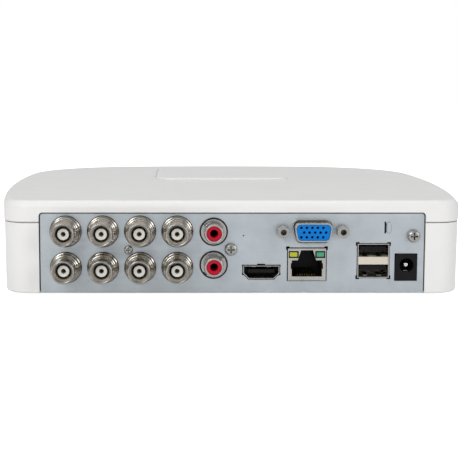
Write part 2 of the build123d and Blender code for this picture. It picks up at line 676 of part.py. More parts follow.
with BuildPart() as lan_housing:
    with BuildSketch(face(LAN_AT[0], LAN_Z - 0.2, LAN_D)):
        Rectangle(LAN_W - 0.72, LAN_H - 0.72)
    extrude(amount=LAN_D)
    with BuildSketch(face(LAN_AT[0], 0)):
        add(lan_opening())
    extrude(amount=-LAN_CAVITY[2], mode=Mode.SUBTRACT)
    with BuildSketch(face(LAN_AT[0], LED_Z)):
        with Locations((-LED_OFFSET, 0), (LED_OFFSET, 0)):
            Rectangle(LED_SIZE[0] + 0.04, LED_SIZE[1] + 0.04)
    extrude(amount=-8.0, mode=Mode.SUBTRACT)
save(lan_housing, "lan_housing")

for name, side in (("lan_led_yellow", -1), ("lan_led_green", 1)):
    with BuildPart() as led:
        with BuildSketch(face(LAN_AT[0] + side * LED_OFFSET, LED_Z, 8.0)):
            RectangleRounded(*LED_SIZE, 0.4)
        extrude(amount=8.1)
    save(led, name)

with BuildPart() as lan_contacts:
    for i in range(8):
        x = LAN_AT[0] + (i - 3.5) * 1.02
        with BuildSketch(Plane(origin=(x, REAR_Y, PANEL_Z), x_dir=(0, 1, 0), z_dir=(1, 0, 0))):
            with BuildLine():
                low = LAN_CAVITY_Z - LAN_CAVITY[1] / 2
                Polyline(
                    (3.0, low), (3.9, low), (LAN_CAVITY[2], low + 1.5),
                    (LAN_CAVITY[2], low + 1.9), (3.0, low + 0.4),
                    close=True,
                )
            make_face()
        extrude(amount=0.22, both=True)
save(lan_contacts, "lan_contacts")

# ---- Twin USB socket -------------------------------------------------------------------------
USB_W, USB_H, USB_D = 13.3, 14.5, 17.0
USB_STRIP = (11.75, 14.95)              # heights of the divider between the two openings
USB_WALL = 0.35
with BuildPart() as usb_shell:
    with BuildSketch(face(*USB_AT, USB_D)):
        Rectangle(USB_W, USB_H)
        Rectangle(USB_W - 2 * USB_WALL, USB_H - 2 * USB_WALL, mode=Mode.SUBTRACT)
    extrude(amount=USB_D + 0.4)
    with BuildSketch(face(USB_AT[0], (BOARD_TOP + USB_AT[1] - USB_H / 2) / 2, USB_D - 1.0)):
        with Locations(*[(s * (USB_W - USB_WALL) / 2, 0) for s in (-1, 1)]):
            Rectangle(USB_WALL, USB_AT[1] - USB_H / 2 - BOARD_TOP)
    extrude(amount=USB_D - 3.0)
save(usb_shell, "usb_shell")

with BuildPart() as usb_housing:
    with BuildSketch(face(*USB_AT, USB_D)):
        Rectangle(USB_W - 2 * USB_WALL - 0.02, USB_H - 2 * USB_WALL - 0.02)
    extrude(amount=3.0)
    with BuildSketch(face(USB_AT[0], sum(USB_STRIP) / 2, USB_D - 3.0)):
        Rectangle(USB_W - 2 * USB_WALL - 0.02, USB_STRIP[1] - USB_STRIP[0])
    extrude(amount=USB_D - 2.8)
save(usb_housing, "usb_housing")

with BuildPart() as usb_tongues:
    for low in (15.0, 7.0):
        with BuildSketch(face(USB_AT[0], low + 3.4, USB_D - 3.0)):
            Rectangle(11.1, 1.9)
        extrude(amount=USB_D - 3.8)
save(usb_tongues, "usb_tongues")

# ---- Power inlet -----------------------------------------------------------------------------
DC_W, DC_H, DC_D = 9.2, 11.3, 14.0
DC_HOLE = (DC_AT[0] + 0.23, DC_AT[1] + 0.9)
DC_BORE_D = 10.0
with BuildPart() as dc_body:
    with BuildSketch(face(*DC_AT, DC_D)):
        Rectangle(DC_W, DC_H)
    extrude(amount=DC_D + 0.4)
    fillet(dc_body.edges().filter_by(Axis.Y).group_by(Axis.Z)[-1], 1.2)
    with BuildSketch(face(*DC_HOLE, -0.4)):
        Circle(3.0)
    extrude(amount=-DC_BORE_D, mode=Mode.SUBTRACT)
save(dc_body, "dc_jack_body")

with BuildPart() as dc_pin:
    with BuildSketch(face(*DC_HOLE, DC_BORE_D - 0.4)):
        Circle(1.0)
    extrude(amount=DC_BORE_D - 1.2)
    fillet(dc_pin.edges().sort_by(Axis.Y)[0], 0.5)
save(dc_pin, "dc_jack_pin")

with BuildPart() as dc_spring:
    with BuildSketch(face(DC_HOLE[0], DC_HOLE[1] - 2.62, DC_BORE_D - 0.4)):
        Rectangle(2.0, 0.3)
    extrude(amount=DC_BORE_D - 2.0)
save(dc_spring, "dc_jack_spring")

# ---- Main board and what is on it ------------------------------------------------------------
BOARD_HALF = 78.0
BOARD_REAR, BOARD_FRONT = 2.2, 82.0
with BuildPart() as main_board:
    with BuildSketch(deck(0, (BOARD_REAR + BOARD_FRONT) / 2, PCB_Z - BOARD_T)):
        RectangleRounded(2 * BOARD_HALF, BOARD_FRONT - BOARD_REAR, 1.5)
    extrude(amount=BOARD_T)
    with Locations(*[(x, REAR_Y + y, PCB_Z) for x, y in BOARD_HOLES]):
        Cylinder(1.6, 10, mode=Mode.SUBTRACT)
save(main_board, "main_board")

CHIP_AT = (-12.0, 50.0)
CHIP_SIZE, CHIP_T = 21.0, 1.6
with BuildPart() as main_chip:
    with BuildSketch(deck(*CHIP_AT, PCB_Z)):
        RectangleRounded(CHIP_SIZE, CHIP_SIZE, 0.8)
    extrude(amount=CHIP_T)
save(main_chip, "main_chip")

SINK_SIZE, SINK_BASE, SINK_H, SINK_FINS = 28.0, 2.0, 10.0, 7
with BuildPart() as heatsink:
    with BuildSketch(deck(*CHIP_AT, PCB_Z + CHIP_T)):
        Rectangle(SINK_SIZE, SINK_SIZE)
    extrude(amount=SINK_BASE)
    with BuildSketch(deck(*CHIP_AT, PCB_Z + CHIP_T + SINK_BASE)):
        with GridLocations((SINK_SIZE - 1.4) / (SINK_FINS - 1), 1, SINK_FINS, 1):
            Rectangle(1.4, SINK_SIZE)
    extrude(amount=SINK_H - SINK_BASE)
save(heatsink, "heatsink")

with BuildPart() as memory_chips:
    for y in (40.0, 56.0):
        with BuildSketch(deck(16.0, y, PCB_Z)):
            RectangleRounded(9.0, 13.0, 0.4)
        extrude(amount=1.1)
save(memory_chips, "memory_chips")

CAPACITORS = [(50.0, 34.0, 4.0, 10.0), (60.0, 34.0, 4.0, 10.0),
              (52.0, 46.0, 3.15, 7.5), (34.0, 30.0, 3.15, 7.5),
              (-50.0, 30.0, 3.15, 7.5), (-34.0, 30.0, 3.15, 7.5)]
with BuildPart() as capacitors:
    for x, y, radius, height in CAPACITORS:
        with BuildSketch(deck(x, y, PCB_Z)):
            Circle(radius)
        extrude(amount=height)
    fillet(capacitors.edges().filter_by(GeomType.CIRCLE), 0.4)
save(capacitors, "capacitors")

CELL_AT = (-52.0, 58.0)
CELL_R, CELL_T = 10.0, 3.2
with BuildPart() as cell_holder:
    with BuildSketch(deck(*CELL_AT, PCB_Z)):
        Circle(CELL_R + 1.6)
        Rectangle(2 * CELL_R + 8.0, 7.0)
    extrude(amount=4.6)
    with BuildSketch(deck(*CELL_AT, PCB_Z + 1.2)):
        Circle(CELL_R + 0.1)
    extrude(amount=4.0, mode=Mode.SUBTRACT)
save(cell_holder, "coin_cell_holder")

with BuildPart() as coin_cell:
    with BuildSketch(deck(*CELL_AT, PCB_Z + 1.2)):
        Circle(CELL_R)
    extrude(amount=CELL_T)
    fillet(coin_cell.edges(), 0.35)
save(coin_cell, "coin_cell")

with BuildPart() as buzzer:
    with BuildSketch(deck(-28.0, 70.0, PCB_Z)):
        Circle(6.0)
    extrude(amount=8.5)
    with BuildSketch(deck(-28.0, 70.0, PCB_Z + 8.5)):
        Circle(1.2)
    extrude(amount=-2.0, mode=Mode.SUBTRACT)
save(buzzer, "buzzer")

# ---- Drive leads: right-angle sockets on the board, plugs at the drive ------------------------
DATA_SOCKET = (73.0, 14.0, 6.0)         # y of the middle, width along Y, height
POWER_SOCKET = (52.0, 13.0, 7.0)
SOCKET_D = 8.0
for name, (y, width, height) in (("drive_data_socket", DATA_SOCKET), ("drive_power_socket", POWER_SOCKET)):
    with BuildPart() as socket:
        with BuildSketch(deck(BOARD_HALF - SOCKET_D / 2, y, PCB_Z)):
            Rectangle(SOCKET_D, width)
        extrude(amount=height)
    save(socket, name)

PLUG_H = 5.6
LEAD_Z = PCB_Z + 3.2


def lead(name, route, socket_w, drive_w, thickness, height, radius):
    """Flat lead with a moulded plug at each end, in one level plane."""
    z = LEAD_Z
    first, last = route[0], route[-1]
    with BuildPart() as piece:
        with BuildLine(Plane.XY.offset(z)):
            path = FilletPolyline(*[(x, REAR_Y + y) for x, y in route], radius=radius)
        with BuildSketch(Plane(origin=path @ 0, x_dir=(0, 0, 1), z_dir=path % 0)):
            Rectangle(height, thickness)
        sweep(path=path)
        with BuildSketch(deck((BOARD_HALF + first[0]) / 2, first[1], z - PLUG_H / 2)):
            Rectangle(first[0] - BOARD_HALF, socket_w)
        extrude(amount=PLUG_H)
        with BuildSketch(deck((DRIVE_L / 2 + last[0]) / 2, last[1], z - PLUG_H / 2)):
            Rectangle(last[0] - DRIVE_L / 2, drive_w)
        extrude(amount=PLUG_H)
    save(piece, name)


DATA_ROUTE = [(84.5, 73.0), (90.5, 73.0), (90.5, 99.0), (82.5, 99.0)]
POWER_ROUTE = [(84.5, 52.0), (95.5, 52.0), (95.5, 119.0), (82.5, 119.0)]
lead("drive_data_cable", DATA_ROUTE, 11.0, 11.0, 1.6, 5.0, 4.0)
lead("drive_power_cable", POWER_ROUTE, 11.0, 22.0, 2.2, 5.0, 6.0)

# ---- Hard drive ------------------------------------------------------------------------------
with BuildPart() as drive_base:
    with BuildSketch(deck(0, DRIVE_Y, DRIVE_Z)):
        RectangleRounded(DRIVE_L, DRIVE_W, 3.0)
    extrude(amount=DRIVE_H - DRIVE_LID_T)
    with BuildSketch(deck(0, 0, DRIVE_CAVITY_Z)):
        with Locations(SPINDLE):
            Circle(PLATTER_R + 1.0)
        with Locations((32.0, DRIVE_Y)):
            Rectangle(62.0, 92.0)
    extrude(amount=DRIVE_H, mode=Mode.SUBTRACT)
    with Locations(*[(x, REAR_Y + y, DRIVE_Z) for x, y in DRIVE_HOLES]):
        Cylinder(1.6, 11.0, mode=Mode.SUBTRACT)
save(drive_base, "drive_base")

with BuildPart() as drive_lid:
    with BuildSketch(deck(0, DRIVE_Y, DRIVE_LID_Z)):
        RectangleRounded(DRIVE_L - 1.0, DRIVE_W - 1.0, 3.0)
    extrude(amount=DRIVE_LID_T)
    chamfer(drive_lid.edges().group_by(Axis.Z)[-1], 0.5)
save(drive_lid, "drive_lid")

HUB_R = 12.5
with BuildPart() as drive_platters:
    with BuildSketch(deck(*SPINDLE, DRIVE_CAVITY_Z + 0.3)):
        Circle(HUB_R)
    extrude(amount=DRIVE_LID_Z - DRIVE_CAVITY_Z - 0.6)
    for lift in (4.0, 10.0):
        with BuildSketch(deck(*SPINDLE, DRIVE_CAVITY_Z + lift)):
            Circle(PLATTER_R)
        extrude(amount=1.27)
save(drive_platters, "drive_platters")

ARM_L = 52.0
ARM_PARK = 50.0                          # degrees from the line between pivot and spindle
ARM_AT = degrees(atan2(SPINDLE[1] - PIVOT[1], SPINDLE[0] - PIVOT[0])) + ARM_PARK
ARM_Z = DRIVE_CAVITY_Z + 12.2
with BuildPart() as drive_actuator:
    with BuildSketch(deck(*PIVOT, DRIVE_CAVITY_Z + 0.3)):
        Circle(6.0)
    extrude(amount=DRIVE_LID_Z - DRIVE_CAVITY_Z - 0.6)
    arm_plane = deck(*PIVOT, ARM_Z).rotated((0, 0, ARM_AT))
    with BuildSketch(arm_plane):
        with BuildLine():
            Polyline(
                (0, -6.0), (ARM_L, -1.6), (ARM_L, 1.6), (0, 6.0), (-17.0, 9.0), (-17.0, -9.0),
                close=True,
            )
        make_face()
    extrude(amount=1.4)
save(drive_actuator, "drive_actuator")

# ---- Indicator lights ------------------------------------------------------------------------
with BuildPart() as led_board:
    with BuildSketch(deck(0, LIGHT_BOARD_Y, LIGHT_Z - LIGHT_BOARD_SIZE[2] / 2)):
        Rectangle(LIGHT_BOARD_SIZE[0], LIGHT_BOARD_SIZE[1])
    extrude(amount=LIGHT_BOARD_SIZE[2])
save(led_board, "led_board")

GUIDE_Y = LIGHT_BOARD_Y + LIGHT_BOARD_SIZE[1] / 2
with BuildPart() as light_guide:
    with BuildSketch(Plane(origin=(0, REAR_Y + GUIDE_Y, LIGHT_Z), x_dir=(-1, 0, 0), z_dir=(0, 1, 0))):
        RectangleRounded(24.0, 6.0, 1.0)
    extrude(amount=2.6)
    with BuildSketch(Plane(origin=(0, REAR_Y + GUIDE_Y + 2.6, LIGHT_Z), x_dir=(-1, 0, 0), z_dir=(0, 1, 0))):
        with GridLocations(LIGHT_PITCH, 1, 3, 1):
            Circle(1.25)
    extrude(amount=3.6)
save(light_guide, "light_guide")
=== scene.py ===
import json
from math import cos, pi, sin

import bmesh
import bpy
from mathutils import Matrix, Vector


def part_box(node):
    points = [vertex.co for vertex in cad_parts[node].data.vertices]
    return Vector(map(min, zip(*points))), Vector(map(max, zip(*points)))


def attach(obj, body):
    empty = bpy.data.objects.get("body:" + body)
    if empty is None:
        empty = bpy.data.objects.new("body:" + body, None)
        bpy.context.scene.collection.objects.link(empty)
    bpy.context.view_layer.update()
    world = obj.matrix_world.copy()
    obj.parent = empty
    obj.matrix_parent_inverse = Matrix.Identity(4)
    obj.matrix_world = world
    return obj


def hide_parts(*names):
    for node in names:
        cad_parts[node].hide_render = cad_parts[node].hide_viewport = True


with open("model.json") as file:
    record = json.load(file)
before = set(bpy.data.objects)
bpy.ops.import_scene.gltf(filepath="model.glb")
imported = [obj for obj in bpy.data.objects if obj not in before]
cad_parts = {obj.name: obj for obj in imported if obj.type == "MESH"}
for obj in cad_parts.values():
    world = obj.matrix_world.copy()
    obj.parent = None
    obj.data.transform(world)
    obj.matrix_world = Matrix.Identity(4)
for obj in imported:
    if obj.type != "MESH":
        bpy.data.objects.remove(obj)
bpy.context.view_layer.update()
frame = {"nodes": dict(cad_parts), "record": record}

# The scene is in metres; sizes of pieces are given in millimetres and multiplied by MM.
MM = 0.001
SIDES = (-1, 1)
NODES = frame["nodes"]
MOUNTS = {mount["name"]: Vector(mount["pos_m"]) for mount in frame["record"]["mounts"]}
FACE_Y = MOUNTS["lock_slot"].y                 # outer face of the connector panel
PANEL_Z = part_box("rear_panel")[0].z            # the panel's lower edge


# ---- Shader building blocks --------------------------------------------------------------------
EDGE_SOFT = 0.15 * MM                          # how far light rounds every sharp edge
CAVITY_REACH = 3.0 * MM                        # how near the walls of a gap must be for the painted shade to darken it


def new_material(name, colour, roughness, metallic=0.0, **sockets):
    """A Principled material with its constant values set on the shader itself."""
    material = bpy.data.materials.new(name)
    material.use_nodes = True
    shader = shader_of(material)
    shader.inputs["Base Color"].default_value = (*colour, 1.0)
    shader.inputs["Roughness"].default_value = roughness
    shader.inputs["Metallic"].default_value = metallic
    for socket, value in sockets.items():
        shader.inputs[socket.replace("_", " ")].default_value = value
    return material


def shader_of(material):
    return material.node_tree.nodes["Principled BSDF"]


def add_node(material, kind, **values):
    """Adds a node; each value goes to the input of that name, or else to the node's setting."""
    node = material.node_tree.nodes.new(kind)
    for key, value in values.items():
        if key in node.inputs:
            node.inputs[key].default_value = value
        else:
            setattr(node, key, value)
    return node


def join(material, source, target):
    material.node_tree.links.new(source, target)


def noise(material, scale, detail=3.0, roughness=0.55, stretch=(1, 1, 1), offset=(0, 0, 0)):
    """Noise in the object's own metres, stretched along an axis for brushing and grain."""
    place = add_node(material, "ShaderNodeTexCoord")
    mapping = add_node(material, "ShaderNodeMapping", Scale=stretch, Location=offset)
    texture = add_node(material, "ShaderNodeTexNoise", Scale=scale, Detail=detail, Roughness=roughness)
    join(material, place.outputs["Object"], mapping.inputs["Vector"])
    join(material, mapping.outputs["Vector"], texture.inputs["Vector"])
    return texture.outputs["Fac"]


def spread(material, source, low, high, start=0.3, end=0.7):
    """Maps the part of a texture's range from start to end onto low to high."""
    node = add_node(material, "ShaderNodeMapRange")
    for socket, value in (("From Min", start), ("From Max", end), ("To Min", low), ("To Max", high)):
        node.inputs[socket].default_value = value
    join(material, source, node.inputs["Value"])
    return node.outputs["Result"]


def blend_colours(material, factor, first, second):
    """Mixes two colours, each a plain (red, green, blue) or another node's output."""
    node = add_node(material, "ShaderNodeMix", data_type="RGBA")
    factor_input, first_input, second_input, colour_output = 0, 6, 7, 2
    for index, value in ((first_input, first), (second_input, second)):
        if isinstance(value, tuple):
            node.inputs[index].default_value = (*value, 1.0)
        else:
            join(material, value, node.inputs[index])
    join(material, factor, node.inputs[factor_input])
    return node.outputs[colour_output]


def scaled(colour, factor):
    """A lighter or darker version of a colour."""
    return tuple(min(1.0, channel * factor) for channel in colour)


def set_colour(material, colour):
    join(material, colour, shader_of(material).inputs["Base Color"])


def set_roughness(material, value):
    join(material, value, shader_of(material).inputs["Roughness"])


def add_bump(material, layers):
    """Stacks bump layers of (height, strength, distance in mm) on softly rounded edges."""
    previous = add_node(material, "ShaderNodeBevel", Radius=EDGE_SOFT, samples=4).outputs["Normal"]
    for height, strength, distance in layers:
        node = add_node(material, "ShaderNodeBump", Strength=strength, Distance=distance * MM)
        join(material, height, node.inputs["Height"])
        join(material, previous, node.inputs["Normal"])
        previous = node.outputs["Normal"]
    join(material, previous, shader_of(material).inputs["Normal"])


def edge_highlight_mask(material, width):
    """1 along edges, where a highlight is painted, 0 on the flats; width in mm."""
    bevel = add_node(material, "ShaderNodeBevel", Radius=width * MM)
    geometry = add_node(material, "ShaderNodeNewGeometry")
    dot = add_node(material, "ShaderNodeVectorMath", operation="DOT_PRODUCT")
    join(material, bevel.outputs["Normal"], dot.inputs[0])
    join(material, geometry.outputs["Normal"], dot.inputs[1])
    return spread(material, dot.outputs["Value"], low=1.0, high=0.0, start=0.80, end=0.995)


def painted_cavity_shade(material, colour, painted_bore_shade):
    """Painted shade: darkens the colour in bores and narrow gaps, where little light gets in."""
    cavity = add_node(material, "ShaderNodeAmbientOcclusion", Distance=CAVITY_REACH, samples=4)
    openness = spread(material, cavity.outputs["AO"], low=0.0, high=1.0, start=0.15, end=0.75)
    return blend_colours(material, openness, painted_bore_shade, colour)


# ---- Materials -----------------------------------------------------------------------------------
def plastic(name, colour, roughness, grain, depth, shift, **sockets):
    """Moulded plastic: faint flow marks, fine spark-eroded grain and handling sheen.

    grain is the scale of the fine grain, depth its height in mm, and shift how far the flow
    marks change the colour.
    """
    material = new_material(name, colour, roughness, **sockets)
    flow = noise(material, scale=38.0, detail=4.0)
    fine = noise(material, scale=grain, detail=2.0, roughness=0.6)
    handled = noise(material, scale=70.0, detail=5.0, offset=(3, 1, 2))
    dark, light = scaled(colour, 1 - shift), scaled(colour, 1 + shift * 0.6)
    set_colour(material, blend_colours(material, spread(material, flow, 0, 1), dark, light))
    set_roughness(material, spread(material, handled, roughness - 0.06, roughness + 0.07))
    add_bump(material, [(flow, 0.05, 0.4), (fine, 0.35, depth)])
    return material


def metal(
    name, colour, roughness=0.3, stretch=(1, 1, 1), streak=700.0, tarnish=0.22, depth=0.02,
    edge_highlight_width=None, painted_bore_shade=0.42,
):
    """Plated metal: tool streaks along one direction, cloudy tarnish, painted highlights along edges and
    painted shade in bores.

    streak is the scale of the tool marks and depth their height in mm, tarnish how much the
    clouds darken the colour, the edge highlight width how wide in mm the painted highlight along
    edges is, and the bore shade level how bright the painted shade in bores leaves the metal.
    """
    material = new_material(name, colour, roughness, metallic=1.0)
    clouds = noise(material, scale=90.0, detail=3.0)
    streaks = noise(material, scale=streak, detail=3.0, roughness=0.6, stretch=stretch)
    dull, bright = scaled(colour, 1 - tarnish), scaled(colour, 1.12)
    shade = blend_colours(material, spread(material, clouds, 0, 1, start=0.25, end=0.75), dull, bright)
    # painted highlight: edges lighter than the flats
    if edge_highlight_width:
        shade = blend_colours(material, edge_highlight_mask(material, edge_highlight_width), shade, scaled(colour, 1.35))
    # painted shade: the colour darkens in bores and narrow gaps
    set_colour(material, painted_cavity_shade(material, shade, scaled(colour, painted_bore_shade)))
    set_roughness(material, spread(material, streaks, roughness - 0.07, roughness + 0.10))
    add_bump(material, [(streaks, 0.18, depth), (clouds, 0.03, 0.05)])
    return material


def board(name):
    """Circuit board: solder mask over copper tracks, tinned pads and the weave of the laminate."""
    mask, track, pad = (0.010, 0.085, 0.030), (0.022, 0.150, 0.055), (0.62, 0.60, 0.52)
    material = new_material(name, mask, roughness=0.32)
    place = add_node(material, "ShaderNodeTexCoord")
    tracks = add_node(
        material, "ShaderNodeTexBrick", Scale=240.0, offset=0.37, squash=1.7, squash_frequency=3,
    )
    tracks.inputs["Mortar Size"].default_value = 0.10
    tracks.inputs["Bias"].default_value = 0.2
    join(material, place.outputs["Object"], tracks.inputs["Vector"])
    cells = add_node(material, "ShaderNodeTexVoronoi", Scale=330.0)
    join(material, place.outputs["Object"], cells.inputs["Vector"])
    dots = spread(material, cells.outputs["Distance"], low=1.0, high=0.0, start=0.10, end=0.13)
    patches = noise(material, scale=45.0, detail=2.0)
    region = spread(material, patches, low=0.0, high=1.0, start=0.52, end=0.56)
    pads = add_node(material, "ShaderNodeMath", operation="MULTIPLY")
    join(material, dots, pads.inputs[0])
    join(material, region, pads.inputs[1])
    copper = blend_colours(material, tracks.outputs["Fac"], track, mask)
    set_colour(material, blend_colours(material, pads.outputs["Value"], copper, pad))
    set_roughness(material, spread(material, noise(material, scale=300.0), 0.22, 0.42))
    weave = noise(material, scale=2200.0, detail=1.0)
    add_bump(material, [(tracks.outputs["Fac"], 0.3, 0.05), (weave, 0.15, 0.03)])
    return material


PLASTICS = {
    "white_plastic": dict(
        colour=(0.800, 0.790, 0.775), roughness=0.40, grain=1500.0, depth=0.04, shift=0.012,
    ),
    "foot_rubber": dict(colour=(0.030, 0.030, 0.031), roughness=0.75, grain=700.0, depth=0.1, shift=0.2),
    "jack_block": dict(
        colour=(0.012, 0.012, 0.013), roughness=0.5, grain=800.0, depth=0.05, shift=0.2,
        Specular_IOR_Level=0.3,
    ),
    "insulator_white": dict(colour=(0.80, 0.79, 0.75), roughness=0.35, grain=1200.0, depth=0.02, shift=0.05),
    "audio_red": dict(
        colour=(0.50, 0.002, 0.022), roughness=0.30, grain=900.0, depth=0.02, shift=0.12,
        Specular_IOR_Level=0.2,
    ),
    "vga_blue": dict(
        colour=(0.001, 0.170, 0.560), roughness=0.45, grain=1200.0, depth=0.02, shift=0.08,
        Specular_IOR_Level=0.15,
    ),
    "socket_black": dict(
        colour=(0.005, 0.005, 0.006), roughness=0.40, grain=1000.0, depth=0.04, shift=0.2,
        Specular_IOR_Level=0.18,
    ),
    "led_yellow": dict(colour=(0.46, 0.46, 0.020), roughness=0.16, grain=600.0, depth=0.01, shift=0.1),
    "led_green": dict(colour=(0.05, 0.32, 0.17), roughness=0.16, grain=600.0, depth=0.01, shift=0.1),
    "usb_cream": dict(colour=(0.66, 0.60, 0.51), roughness=0.40, grain=900.0, depth=0.03, shift=0.05),
    "chip_black": dict(colour=(0.020, 0.020, 0.022), roughness=0.55, grain=1800.0, depth=0.03, shift=0.15),
    "holder_black": dict(colour=(0.020, 0.020, 0.021), roughness=0.45, grain=900.0, depth=0.04, shift=0.2),
    "light_clear": dict(
        colour=(0.80, 0.83, 0.86), roughness=0.12, grain=500.0, depth=0.01, shift=0.04,
        Transmission_Weight=0.75, IOR=1.49,
    ),
    "lead_red": dict(colour=(0.42, 0.015, 0.015), roughness=0.42, grain=500.0, depth=0.04, shift=0.1),
    "lead_black": dict(colour=(0.020, 0.020, 0.020), roughness=0.45, grain=500.0, depth=0.04, shift=0.2),
}
METALS = {
    "panel_steel": dict(
        colour=(0.525, 0.57, 0.60), roughness=0.42, stretch=(0.06, 1, 1), streak=900.0,
        tarnish=0.06, depth=0.01,
    ),
    "screw_zinc": dict(colour=(0.42, 0.405, 0.38), roughness=0.22, tarnish=0.12, edge_highlight_width=0.2, painted_bore_shade=0.08),
    "nickel": dict(
        colour=(0.40, 0.372, 0.33), roughness=0.20, stretch=(1, 0.05, 1), streak=900.0,
        tarnish=0.12, depth=0.01, edge_highlight_width=0.2,
    ),
    "contact_gold": dict(colour=(0.42, 0.30, 0.13), roughness=0.28),
    "audio_chrome": dict(
        colour=(0.44, 0.43, 0.41), roughness=0.15, stretch=(1, 0.05, 1), streak=500.0,
        tarnish=0.08, depth=0.003, edge_highlight_width=0.2,
    ),
    "socket_steel": dict(
        colour=(0.52, 0.505, 0.475), roughness=0.26, stretch=(1, 0.1, 1), streak=800.0,
        tarnish=0.10, depth=0.01,
    ),
    "pin_metal": dict(colour=(0.72, 0.70, 0.66), roughness=0.2),
    "heatsink_alu": dict(colour=(0.55, 0.56, 0.58), roughness=0.35, stretch=(1, 0.04, 1), tarnish=0.12),
    "capacitor_can": dict(colour=(0.72, 0.72, 0.73), roughness=0.22),
    "cell_steel": dict(colour=(0.70, 0.70, 0.69), roughness=0.22),
    "drive_cast": dict(colour=(0.40, 0.41, 0.42), roughness=0.48, streak=1500.0, tarnish=0.15, depth=0.08),
    "drive_lid_steel": dict(
        colour=(0.60, 0.60, 0.61), roughness=0.30, stretch=(0.05, 1, 1), streak=600.0,
        tarnish=0.10, depth=0.01,
    ),
    "platter_mirror": dict(colour=(0.86, 0.86, 0.87), roughness=0.08, tarnish=0.04, depth=0.002),
}
MATERIALS = {name: plastic(name, **look) for name, look in PLASTICS.items()}
MATERIALS.update({name: metal(name, **look) for name, look in METALS.items()})
MATERIALS["board_green"] = board("board_green")

for entry in frame["record"]["subparts"]:
    node_mesh = NODES[entry["node"]].data
    node_mesh.materials.clear()
    node_mesh.materials.append(MATERIALS[entry["material_slot"]])


# ---- Making pieces ---------------------------------------------------------------------------------
def piece(name, mesh_data, slot, body="recorder", hides=None, bevel=0.0):
    """Turns a finished bmesh into a piece that rides on a body and takes a slot's finish."""
    mesh = bpy.data.meshes.new(name)
    bmesh.ops.recalc_face_normals(mesh_data, faces=mesh_data.faces)
    mesh_data.to_mesh(mesh)
    mesh_data.free()
    made = bpy.data.objects.new(name, mesh)
    bpy.context.scene.collection.objects.link(made)
    mesh.materials.append(MATERIALS[slot])
    if bevel:
        rounding = made.modifiers.new("edge", "BEVEL")
        rounding.width = bevel * MM
        rounding.segments = 2
        rounding.limit_method = "ANGLE"
    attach(made, body)
    if hides:
        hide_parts(hides)


def spot(x, z, y):
    """Point given in millimetres: x across, z above the panel's lower edge, y behind its face."""
    return Vector((x * MM, FACE_Y + y * MM, PANEL_Z + z * MM))


def add_block(data, low, high):
    """Adds a box between two corners, in metres."""
    centre = (Vector(low) + Vector(high)) / 2
    size = Vector(high) - Vector(low)
    place = Matrix.Translation(centre) @ Matrix.Diagonal((*size, 1.0))
    bmesh.ops.create_cube(data, size=1.0, matrix=place)


def add_slab(data, x, y, half_x, half_y, low, high):
    """Adds a box centred on x, y between two heights, in metres."""
    add_block(data, (x - half_x, y - half_y, low), (x + half_x, y + half_y, high))


def add_bar(data, x_span, z_span, y_span):
    """Adds a box from its spans in the panel's millimetres; a span may run either way."""
    low, high = zip(sorted(x_span), sorted(z_span), sorted(y_span))
    add_block(data, spot(*low), spot(*high))


def add_lathe(data, x, z, profile, steps=72):
    """Adds a ring turned about the panel's normal from a closed profile of (radius, y) in mm."""
    rings = []
    for step in range(steps):
        turn = 2 * pi * step / steps
        rings.append([
            data.verts.new(spot(x + radius * cos(turn), z + radius * sin(turn), y))
            for radius, y in profile
        ])
    for here, there in zip(rings, rings[1:] + rings[:1]):
        for i in range(len(profile)):
            j = (i + 1) % len(profile)
            face = data.faces.new((here[i], here[j], there[j], there[i]))
            face.smooth = True


def add_rod(data, start, end, radius, steps=20):
    """Adds a cylinder between two points in metres."""
    along = end - start
    place = Matrix.Translation((start + end) / 2) @ along.to_track_quat("Z", "Y").to_matrix().to_4x4()
    bmesh.ops.create_cone(
        data, cap_ends=True, segments=steps, radius1=radius, radius2=radius, depth=along.length,
        matrix=place,
    )


def add_strip(data, x, width, thickness, path):
    """Adds a bent metal strip: path of (y, z) in mm down its middle, a constant width across."""
    rows = []
    for i, (y, z) in enumerate(path):
        before, after = path[max(i - 1, 0)], path[min(i + 1, len(path) - 1)]
        run = Vector((after[0] - before[0], after[1] - before[1])).normalized() * thickness / 2
        rows.append([
            data.verts.new(spot(x + side * width / 2, z + up * run.x, y - up * run.y))
            for side, up in ((-1, -1), (1, -1), (1, 1), (-1, 1))
        ])
    for first, second in zip(rows, rows[1:]):
        for i in range(4):
            j = (i + 1) % 4
            data.faces.new((first[i], first[j], second[j], second[i]))
    data.faces.new(rows[0])
    data.faces.new(rows[-1])


def wire(name, slot, points, radius):
    """A round lead through points in millimetres, turned into a closed tube."""
    curve = bpy.data.curves.new(name, "CURVE")
    curve.dimensions = "3D"
    curve.bevel_depth = radius * MM
    curve.bevel_resolution = 3
    curve.use_fill_caps = True
    line = curve.splines.new("BEZIER")
    line.bezier_points.add(len(points) - 1)
    for knot, (x, z, y) in zip(line.bezier_points, points):
        knot.co = spot(x, z, y)
        knot.handle_left_type = knot.handle_right_type = "AUTO"
    holder = bpy.data.objects.new(name, curve)
    bpy.context.scene.collection.objects.link(holder)
    bpy.context.view_layer.update()
    mesh = bpy.data.meshes.new_from_object(holder.evaluated_get(bpy.context.evaluated_depsgraph_get()))
    bpy.data.objects.remove(holder)
    data = bmesh.new()
    data.from_mesh(mesh)
    bpy.data.meshes.remove(mesh)
    bmesh.ops.remove_doubles(data, verts=data.verts, dist=0.01 * MM)
    piece(name, data, slot)


